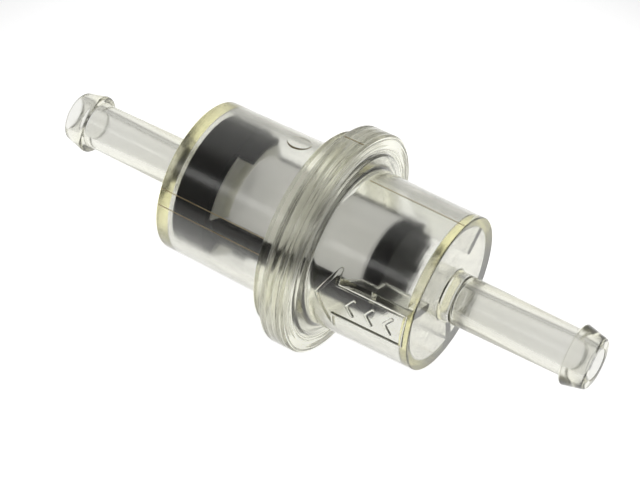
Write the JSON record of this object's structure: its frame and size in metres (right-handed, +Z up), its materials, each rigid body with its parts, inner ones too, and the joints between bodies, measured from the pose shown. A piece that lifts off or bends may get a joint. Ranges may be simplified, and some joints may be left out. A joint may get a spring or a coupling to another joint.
{
  "type": "inline fuel filter",
  "caption": "Clear inline fuel filter: two welded housing halves with barbed hose nipples around a black-framed mesh element.",
  "frame": {"origin": "middle of the overall length, on the filter's axis", "axes": "+X along the axis towards the inlet nipple, +Z up as pictured, the cage ribs at -Y and +Y"},
  "size_m": [0.077, 0.0296, 0.0296],
  "materials": {
    "clear_housing": "clear moulded plastic, slightly straw-coloured, light scuffs",
    "black_frame": "satin moulded nylon",
    "woven_screen": "fine woven monofilament mesh",
    "bonding_resin": "pale translucent resin"
  },
  "bodies": {
    "root": {"outlet_housing": "clear_housing", "inlet_housing": "clear_housing", "element_collar": "black_frame", "element_end_cap": "black_frame", "cage_rib_front": "black_frame", "cage_rib_rear": "black_frame", "screen_sleeve": "woven_screen", "potting_ring": "bonding_resin"}
  },
  "joints": []
}
